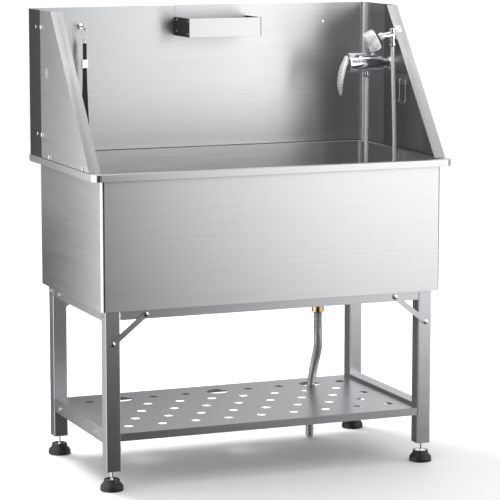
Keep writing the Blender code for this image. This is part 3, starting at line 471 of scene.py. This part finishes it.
def eased_copy(node, ease, slot_name, look, angle=38):
    """A merged copy of a frame part with its sharp edges rounded, which stands for it."""
    piece = bpy.data.objects.new(f"{node}_finished", frame["nodes"][node].data.copy())
    bpy.context.scene.collection.objects.link(piece)
    pick(piece)
    bpy.ops.object.mode_set(mode="EDIT")
    bpy.ops.mesh.select_all(action="SELECT")
    bpy.ops.mesh.remove_doubles(threshold=0.00001)
    bpy.ops.mesh.dissolve_limited(angle_limit=math.radians(1.0))
    bpy.ops.object.mode_set(mode="OBJECT")
    if ease:
        rounding = piece.modifiers.new("ease", "BEVEL")
        rounding.width = ease
        rounding.segments = 2
        rounding.limit_method = "ANGLE"
        rounding.angle_limit = math.radians(angle)
        bpy.ops.object.modifier_apply(modifier=rounding.name)
    bpy.ops.object.shade_smooth_by_angle(angle=math.radians(angle))
    level = piece.modifiers.new("level", "WEIGHTED_NORMAL")
    level.keep_sharp = True
    level.weight = 100
    bpy.ops.object.modifier_apply(modifier=level.name)
    finish(piece, home[node], slot_name, look, node)
    return piece


sheet_steel = metal("brushed_sheet", (0.66, 0.67, 0.68), 0.34, 0.08, 0.05, 0.8)
satin_steel = metal("satin_tube", (0.52, 0.525, 0.54), 0.30, 0.05, 0.04)
eased_copy("tub_basin", 0.0005, "brushed_steel", sheet_steel)
back = eased_copy("back_panel", 0.0004, "brushed_steel", sheet_steel)
# Painted reflection: the back panel's return faces are the same steel as the panel, but get a near-black copy
# of it that stands for the dark reflection they show.
painted_dark_return_look = metal("painted_dark_return", (0.05, 0.051, 0.055), 0.42, 0.05, 0.05, 0.6)
back.data.materials.append(painted_dark_return_look)
back_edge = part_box("back_panel")[1][0] - 0.0002
for face in back.data.polygons:
    if abs(face.center.x) > back_edge and abs(face.normal.x) > 0.9:
        face.material_index = 1
eased_copy("side_panel_left", 0.0004, "brushed_steel", sheet_steel)
right = eased_copy("side_panel_right", 0.0004, "brushed_steel", sheet_steel)
# Painted shade: the right panel's inner face is the same brushed sheet, given a darker copy of it that stands
# for the darker reflection this face shows.
right.data.materials.append(metal("painted_shade_sheet", (0.40, 0.405, 0.41), 0.34, 0.08, 0.05, 0.8))
for face in right.data.polygons:
    if face.center.x > back_edge - 0.010 and face.normal.x < -0.9:
        face.material_index = 1
eased_copy("shelf", 0.0004, "brushed_steel", satin_steel)
eased_copy("soap_box", 0.0003, "brushed_steel", sheet_steel)
eased_copy("hook_rack_plate", 0.0, "brushed_steel", sheet_steel)
for corner in ("front_left", "front_right", "rear_left", "rear_right"):
    eased_copy(f"leg_{corner}", 0.0004, "frame_steel", satin_steel)
    eased_copy(f"brace_{corner}", 0.0004, "frame_steel", satin_steel)
for side in ("left", "right"):
    eased_copy(f"lower_rail_{side}", 0.0004, "frame_steel", satin_steel)
for side in ("left", "right", "front", "rear"):
    eased_copy(f"upper_rail_{side}", 0.0004, "frame_steel", satin_steel)

# Chromed fittings: turned and cast brass under chrome, with every edge softened by polishing.
for node in ("mixer_body", "mixer_cap", "mixer_wall_nut", "mixer_back_nut", "mixer_outlet_nut", "handset_neck",
             "handset_hose_nut", "handset_bracket", "hook_wire_front", "hook_wire_rear", "leash_eyebolt",
             "leash_snap_hook", "leash_gate", "leash_swivel", "leash_buckle", "drain_flange",
             "drain_strainer", "foot_stem_front_left", "foot_stem_front_right", "foot_stem_rear_left",
             "foot_stem_rear_right"):
    eased_copy(node, 0.0004, "chrome", chrome, 40)
brass_look = metal("polished_brass", (0.74, 0.55, 0.30), 0.22, 0.0, 0.15)
eased_copy("drain_nut", 0.0006, "brass", brass_look)

# Mixer lever: a leaf-shaped chromed blade, broad and thick below the mixer's end and round at its tip. A
# small knob stands on the mixer's cover, and a flat arm on the turning cap reaches back over the body.
pivot = Vector((0.4325, 0.124, 1.269))
blade = (
    (0.0000, 0.0128, 0.0075, 0.0014), (0.0005, 0.0100, 0.0110, 0.0035), (0.0000, 0.0050, 0.0140, 0.0056),
    (0.0000, 0.0000, 0.0160, 0.0072), (-0.0022, -0.0080, 0.0185, 0.0082), (-0.0085, -0.0200, 0.0205, 0.0090),
    (-0.0148, -0.0400, 0.0215, 0.0088), (-0.0190, -0.0610, 0.0205, 0.0080), (-0.0212, -0.0800, 0.0180, 0.0070),
    (-0.0210, -0.0980, 0.0138, 0.0058), (-0.0198, -0.1110, 0.0088, 0.0042), (-0.0190, -0.1175, 0.0040, 0.0024),
)
lever_bm = bmesh.new()
lever_rows = []
for out, down, half_width, half_thickness in blade:
    row = []
    for step in range(16):
        turn = step * math.pi / 8
        offset = (out + half_thickness * math.cos(turn), half_width * math.sin(turn), down)
        row.append(lever_bm.verts.new(pivot + Vector(offset)))
    lever_rows.append(row)
for lower, upper in zip(lever_rows, lever_rows[1:]):
    for i in range(16):
        lever_bm.faces.new((lower[i - 1], lower[i], upper[i], upper[i - 1]))
lever_bm.faces.new(list(reversed(lever_rows[0])))
lever_bm.faces.new(lever_rows[-1])
bmesh.ops.recalc_face_normals(lever_bm, faces=lever_bm.faces)
lever = object_from(lever_bm, "mixer_lever_polished")
pick(lever)
rounding = lever.modifiers.new("smooth", "SUBSURF")
rounding.levels = 2
rounding.render_levels = 2
bpy.ops.object.modifier_apply(modifier=rounding.name)
bpy.ops.object.shade_smooth()
finish(lever, "mixer_handle", "chrome", satin_chrome, "mixer_lever")
cover_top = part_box("mixer_body")[1][2]
bpy.ops.object.select_all(action="DESELECT")
bpy.ops.mesh.primitive_uv_sphere_add(segments=32, ring_count=16, radius=1, location=(0, 0, 0))
knob = bpy.context.object
knob.name = "mixer_cover_knob"
knob_seat = Matrix.Translation((0.531, 0.124, cover_top))
knob.data.transform(knob_seat @ Matrix.Diagonal((0.0095, 0.0075, 0.0055, 1)))
bpy.ops.object.shade_smooth()
finish(knob, "root", "chrome", chrome)
bpy.ops.object.select_all(action="DESELECT")
arm_boxes = []
for x, rise, size in ((0.4545, -0.0010, (0.021, 0.014, 0.008)), (0.4730, 0.0040, (0.063, 0.017, 0.006))):
    bpy.ops.mesh.primitive_cube_add(size=1, location=(0, 0, 0))
    arm_boxes.append(bpy.context.object)
    seat = Matrix.Translation((x, pivot.y, cover_top + rise))
    arm_boxes[-1].data.transform(seat @ Matrix.Diagonal((*size, 1)))
cap_arm = arm_boxes[-1]
pick(cap_arm)
arm_boxes[0].select_set(True)
bpy.ops.object.join()
cap_arm.name = "mixer_cap_arm"
arm_edge = cap_arm.modifiers.new("edge", "BEVEL")
arm_edge.width = 0.0024
arm_edge.segments = 3
bpy.ops.object.modifier_apply(modifier=arm_edge.name)
bpy.ops.object.shade_smooth_by_angle(angle=math.radians(40))
finish(cap_arm, "mixer_turner", "chrome", satin_chrome)

# Rubber and plastic: moulded foot pads, the plugs in the legs, the soap box's end plates and the drain cup. The
# soap box's end plates are partly painted reflection: their black also stands for the dark their ends reflect.
moulded = bpy.data.materials.new("moulded_black")
moulded.use_nodes = True
moulded_nodes = moulded.node_tree.nodes
moulded_shader = moulded_nodes["Principled BSDF"]
moulded_shader.inputs["Base Color"].default_value = (0.012, 0.012, 0.013, 1)
moulded_place = moulded_nodes.new("ShaderNodeTexCoord")
moulded_grain = moulded_nodes.new("ShaderNodeTexNoise")
moulded_grain.inputs["Scale"].default_value = 900.0
moulded_wear = moulded_nodes.new("ShaderNodeMapRange")
moulded_wear.inputs["To Min"].default_value = 0.32
moulded_wear.inputs["To Max"].default_value = 0.55
moulded_bump = moulded_nodes.new("ShaderNodeBump")
moulded_bump.inputs["Distance"].default_value = 0.0003
moulded.node_tree.links.new(moulded_place.outputs["Object"], moulded_grain.inputs["Vector"])
moulded.node_tree.links.new(moulded_grain.outputs["Fac"], moulded_wear.inputs["Value"])
moulded.node_tree.links.new(moulded_wear.outputs[0], moulded_shader.inputs["Roughness"])
moulded.node_tree.links.new(moulded_grain.outputs["Fac"], moulded_bump.inputs["Height"])
moulded.node_tree.links.new(moulded_bump.outputs[0], moulded_shader.inputs["Normal"])
for corner in ("front_left", "front_right", "rear_left", "rear_right"):
    eased_copy(f"foot_pad_{corner}", 0.0006, "rubber", moulded, 50)
    eased_copy(f"leg_plug_{corner}", 0.0004, "black_plastic", moulded)
# The soap box's ends take the same near-black material, which is partly painted dark reflection.
for side in ("left", "right"):
    eased_copy(f"soap_box_end_{side}", 0.0005, "black_plastic", moulded)
eased_copy("drain_tail", 0.0005, "grey_plastic", corrugated)

# Handset head: a ribbed chromed drum. Its ribs run on past the spray face as a ring of blunt teeth. A black
# ring seals its back, where a short collar meets the neck.
tilt = math.radians(27)
yaw = math.radians(18)
spray = Vector((-math.cos(tilt) * math.cos(yaw), math.cos(tilt) * math.sin(yaw), -math.sin(tilt)))
head_centre = Vector((0.467, -0.006, 1.337))
drum_place = Matrix.Translation(head_centre) @ Vector((0, 0, 1)).rotation_difference(spray).to_matrix().to_4x4()
RIBS = 30
drum_rings = (
    (-0.0175, 0.0290, 0.0290), (-0.0165, 0.0310, 0.0305), (-0.0120, 0.0345, 0.0315), (0.0110, 0.0350, 0.0318),
    (0.0165, 0.0345, 0.0300), (0.0205, 0.0335, 0.0290), (0.0205, 0.0310, 0.0290), (0.0150, 0.0285, 0.0285),
)
drum_bm = bmesh.new()
drum_rows = []
for along, rib, groove in drum_rings:
    row = []
    for step in range(RIBS * 4):
        angle = 2 * math.pi * (step + 0.5) / (RIBS * 4)
        reach = rib if step % 4 in (0, 1) else groove
        if step % 4 in (2, 3) and along > 0.018:
            row.append(drum_bm.verts.new((0.0300 * math.cos(angle), 0.0300 * math.sin(angle), 0.0155)))
        else:
            row.append(drum_bm.verts.new((reach * math.cos(angle), reach * math.sin(angle), along)))
    drum_rows.append(row)
for lower, upper in zip(drum_rows, drum_rows[1:]):
    for i in range(RIBS * 4):
        drum_bm.faces.new((lower[i - 1], lower[i], upper[i], upper[i - 1]))
drum_bm.faces.new(list(reversed(drum_rows[0])))
drum_bm.faces.new(drum_rows[-1])
bmesh.ops.remove_doubles(drum_bm, verts=drum_bm.verts, dist=0.00001)
bmesh.ops.recalc_face_normals(drum_bm, faces=drum_bm.faces)
drum_bm.transform(drum_place)
drum = object_from(drum_bm, "handset_head_ribbed")
pick(drum)
bpy.ops.object.shade_smooth_by_angle(angle=math.radians(30))
finish(drum, "handset", "chrome", satin_chrome, "handset_head")
bpy.ops.object.select_all(action="DESELECT")
bpy.ops.mesh.primitive_torus_add(
    major_radius=0.0215, minor_radius=0.0045, major_segments=64, minor_segments=12, location=(0, 0, -0.0190)
)
back_cap = bpy.context.object
back_cap.name = "handset_back_ring"
back_cap.data.transform(drum_place @ Matrix.Translation((0, 0, -0.0190)))
back_cap.location = (0, 0, 0)
bpy.ops.object.shade_smooth()
finish(back_cap, "handset", "black_plastic", moulded)
bpy.ops.object.select_all(action="DESELECT")
bpy.ops.mesh.primitive_cylinder_add(vertices=48, radius=0.0118, depth=0.0190, location=(0, 0, 0))
collar = bpy.context.object
collar.name = "handset_collar"
collar_edge = collar.modifiers.new("edge", "BEVEL")
collar_edge.width = 0.0015
collar_edge.segments = 3
bpy.ops.object.modifier_apply(modifier=collar_edge.name)
collar.data.transform(drum_place @ Matrix.Translation((0, 0, -0.0285)))
bpy.ops.object.shade_smooth_by_angle(angle=math.radians(40))
finish(collar, "handset", "chrome", satin_chrome)
pin_grey = clouded("spray_face", 200.0, (0.40, 0.41, 0.42), (0.58, 0.59, 0.60), 0.4)
bpy.ops.object.select_all(action="DESELECT")
bpy.ops.mesh.primitive_cylinder_add(vertices=64, radius=0.0282, depth=0.0030, location=(0, 0, 0.0166))
face_plate = bpy.context.object
face_plate.name = "handset_spray_face"
for ring_radius, nozzles in ((0.0240, 20), (0.0165, 14), (0.0090, 8)):
    for number in range(nozzles):
        angle = 2 * math.pi * number / nozzles
        bpy.ops.mesh.primitive_cone_add(
            vertices=10, radius1=0.0013, radius2=0.0007, depth=0.0030,
            location=(ring_radius * math.cos(angle), ring_radius * math.sin(angle), 0.0188),
        )
        face_plate.select_set(True)
        bpy.context.view_layer.objects.active = face_plate
        bpy.ops.object.join()
        bpy.ops.object.select_all(action="DESELECT")
face_plate.data.transform(drum_place @ Matrix.Translation(face_plate.location))
face_plate.location = (0, 0, 0)
face_plate.select_set(True)
bpy.context.view_layer.objects.active = face_plate
bpy.ops.object.shade_smooth_by_angle(angle=math.radians(35))
finish(face_plate, "handset", "grey_plastic", pin_grey, "handset_comb")

# Joint lines: thin dark strips of painted shade for the shadowed gaps where the panels stand on the rim, and
# down the seam in the rim's front left corner.
# Painted shade: near-black strips that stand for the shadow in these gaps.
gap_shade_look = clouded("painted_gap_shade", 150.0, (0.018, 0.018, 0.019), (0.04, 0.04, 0.042), 0.7)
rim_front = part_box("tub_basin")[0][1]
for name, low, high in (
        ("gap_shade_left_foot", (-0.5945, -0.280, 0.9799), (-0.5925, 0.190, 0.9812)),
        ("gap_shade_right_foot", (0.5925, -0.280, 0.9799), (0.5945, 0.190, 0.9812)),
        ("gap_shade_right_foot_inside", (0.5885, -0.270, 0.9799), (0.5905, 0.300, 0.9818)),
        ("gap_shade_back_foot", (-0.585, 0.3255, 0.9799), (0.585, 0.3275, 0.9818)),
        ("gap_shade_corner_seam", (-0.5725, rim_front - 0.0003, 0.9600), (-0.5705, rim_front + 0.0010, 0.9785))):
    bpy.ops.object.select_all(action="DESELECT")
    bpy.ops.mesh.primitive_cube_add(size=1, location=(0, 0, 0))
    bead = bpy.context.object
    bead.name = name
    middle = (Vector(low) + Vector(high)) / 2
    spread = Vector(high) - Vector(low)
    bead.data.transform(Matrix.Translation(middle) @ Matrix.Diagonal((*spread, 1)))
    rounding = bead.modifiers.new("ease", "BEVEL")
    rounding.width = 0.0003
    rounding.segments = 2
    bpy.ops.object.modifier_apply(modifier=rounding.name)
    finish(bead, "root", "rubber", gap_shade_look)

# Fasteners: button-head screws with a hexagon socket hold the panels, the brackets and the soap box's ends.
# Each is modelled once at the origin, then copied to its place and turned to its face.
bpy.ops.object.select_all(action="DESELECT")
bpy.ops.mesh.primitive_cylinder_add(vertices=24, radius=0.005, depth=0.0024, location=(0, 0, 0.0012))
button = bpy.context.object
button.name = "button_screw"
bpy.ops.object.transform_apply(location=True)
rounding = button.modifiers.new("dome", "BEVEL")
rounding.width = 0.0016
rounding.segments = 3
rounding.limit_method = "ANGLE"
bpy.ops.object.modifier_apply(modifier=rounding.name)
bpy.ops.mesh.primitive_cylinder_add(vertices=6, radius=0.0019, depth=0.0034, location=(0, 0, 0.0026))
socket = bpy.context.object
cut = button.modifiers.new("socket", "BOOLEAN")
cut.object = socket
bpy.context.view_layer.objects.active = button
bpy.ops.object.modifier_apply(modifier=cut.name)
bpy.data.objects.remove(socket, do_unlink=True)
pick(button)
bpy.ops.object.shade_smooth_by_angle(angle=math.radians(35))


def set_fastener(pattern, name, at, facing, body="root", size=1.0):
    """A copy of a fastener with its seat at a point, facing away from the piece."""
    made = bpy.data.objects.new(name, pattern.data.copy())
    turn = Vector((0, 0, 1)).rotation_difference(Vector(facing)).to_matrix().to_4x4()
    made.data.transform(Matrix.Translation(at) @ turn @ Matrix.Scale(size, 4))
    bpy.context.scene.collection.objects.link(made)
    finish(made, body, "chrome", chrome)


SEAT_GAP = 0.0001  # under a screw's head
side_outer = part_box("side_panel_right")[1][0]
return_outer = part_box("back_panel")[1][0]
for side, sign in (("left", -1), ("right", 1)):
    for number, (y, z) in enumerate(((0.181, 1.394), (0.183, 1.054), (0.113, 0.990), (-0.227, 0.989))):
        at = (sign * (side_outer + SEAT_GAP), y, z)
        set_fastener(button, f"panel_screw_{side}_{number}", at, (sign, 0, 0), size=1.35)
    for number, (y, z) in enumerate(((0.235, 1.393), (0.231, 1.054))):
        at = (sign * (return_outer + SEAT_GAP), y, z)
        set_fastener(button, f"return_screw_{side}_{number}", at, (sign, 0, 0), size=1.1)
soap_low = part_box("soap_box_end_left")[0]
soap_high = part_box("soap_box_end_right")[1]
for side, x, facing in (("left", soap_low[0], -1), ("right", soap_high[0], 1)):
    for number, (y, z) in enumerate((
            (soap_low[1] + 0.008, soap_low[2] + 0.010), (soap_low[1] + 0.008, soap_high[2] - 0.010),
            (soap_high[1] - 0.020, soap_low[2] + 0.016), (soap_high[1] - 0.020, soap_high[2] - 0.008))):
        set_fastener(button, f"soap_box_rivet_{side}_{number}", (x, y, z), (facing, 0, 0), "soap_tray", 0.7)

# Frame bolts: hexagon heads on washers where the braces and rails meet the legs.
bpy.ops.object.select_all(action="DESELECT")
bpy.ops.mesh.primitive_cylinder_add(vertices=6, radius=0.0062, depth=0.0045, location=(0, 0, 0.0034))
hexagon = bpy.context.object
hexagon.name = "hex_bolt"
bpy.ops.mesh.primitive_cylinder_add(vertices=24, radius=0.0078, depth=0.0012, location=(0, 0, 0.0006))
hexagon.select_set(True)
bpy.context.view_layer.objects.active = hexagon
bpy.ops.object.join()
bpy.ops.object.transform_apply(location=True)
rounding = hexagon.modifiers.new("ease", "BEVEL")
rounding.width = 0.0005
rounding.segments = 2
rounding.limit_method = "ANGLE"
bpy.ops.object.modifier_apply(modifier=rounding.name)
bpy.ops.object.shade_smooth_by_angle(angle=math.radians(35))
brace_front_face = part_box("brace_front_left")[0][1]
brace_rear_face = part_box("brace_rear_left")[1][1]
leg_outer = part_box("leg_front_right")[1][0]
for side, sign in (("left", -1), ("right", 1)):
    for end, x, z in (("rail", 0.419, 0.5447), ("leg", 0.5265, 0.4582)):
        set_fastener(hexagon, f"brace_bolt_front_{side}_{end}", (sign * x, brace_front_face, z), (0, -1, 0))
        set_fastener(hexagon, f"brace_bolt_rear_{side}_{end}", (sign * x, brace_rear_face, z), (0, 1, 0))
    for number, (y, z) in enumerate(((0.2646, 0.540), (0.1666, 0.542), (-0.1355, 0.540), (-0.269, 0.540))):
        set_fastener(hexagon, f"rail_bolt_{side}_{number}", (sign * leg_outer, y, z), (sign, 0, 0), size=0.8)
    for number, y in enumerate((-0.188, 0.176)):
        at = (sign * leg_outer, y, 0.165)
        set_fastener(hexagon, f"shelf_bolt_{side}_{number}", at, (sign, 0, 0), size=0.9)
for pattern in (button, hexagon):
    bpy.data.objects.remove(pattern, do_unlink=True)
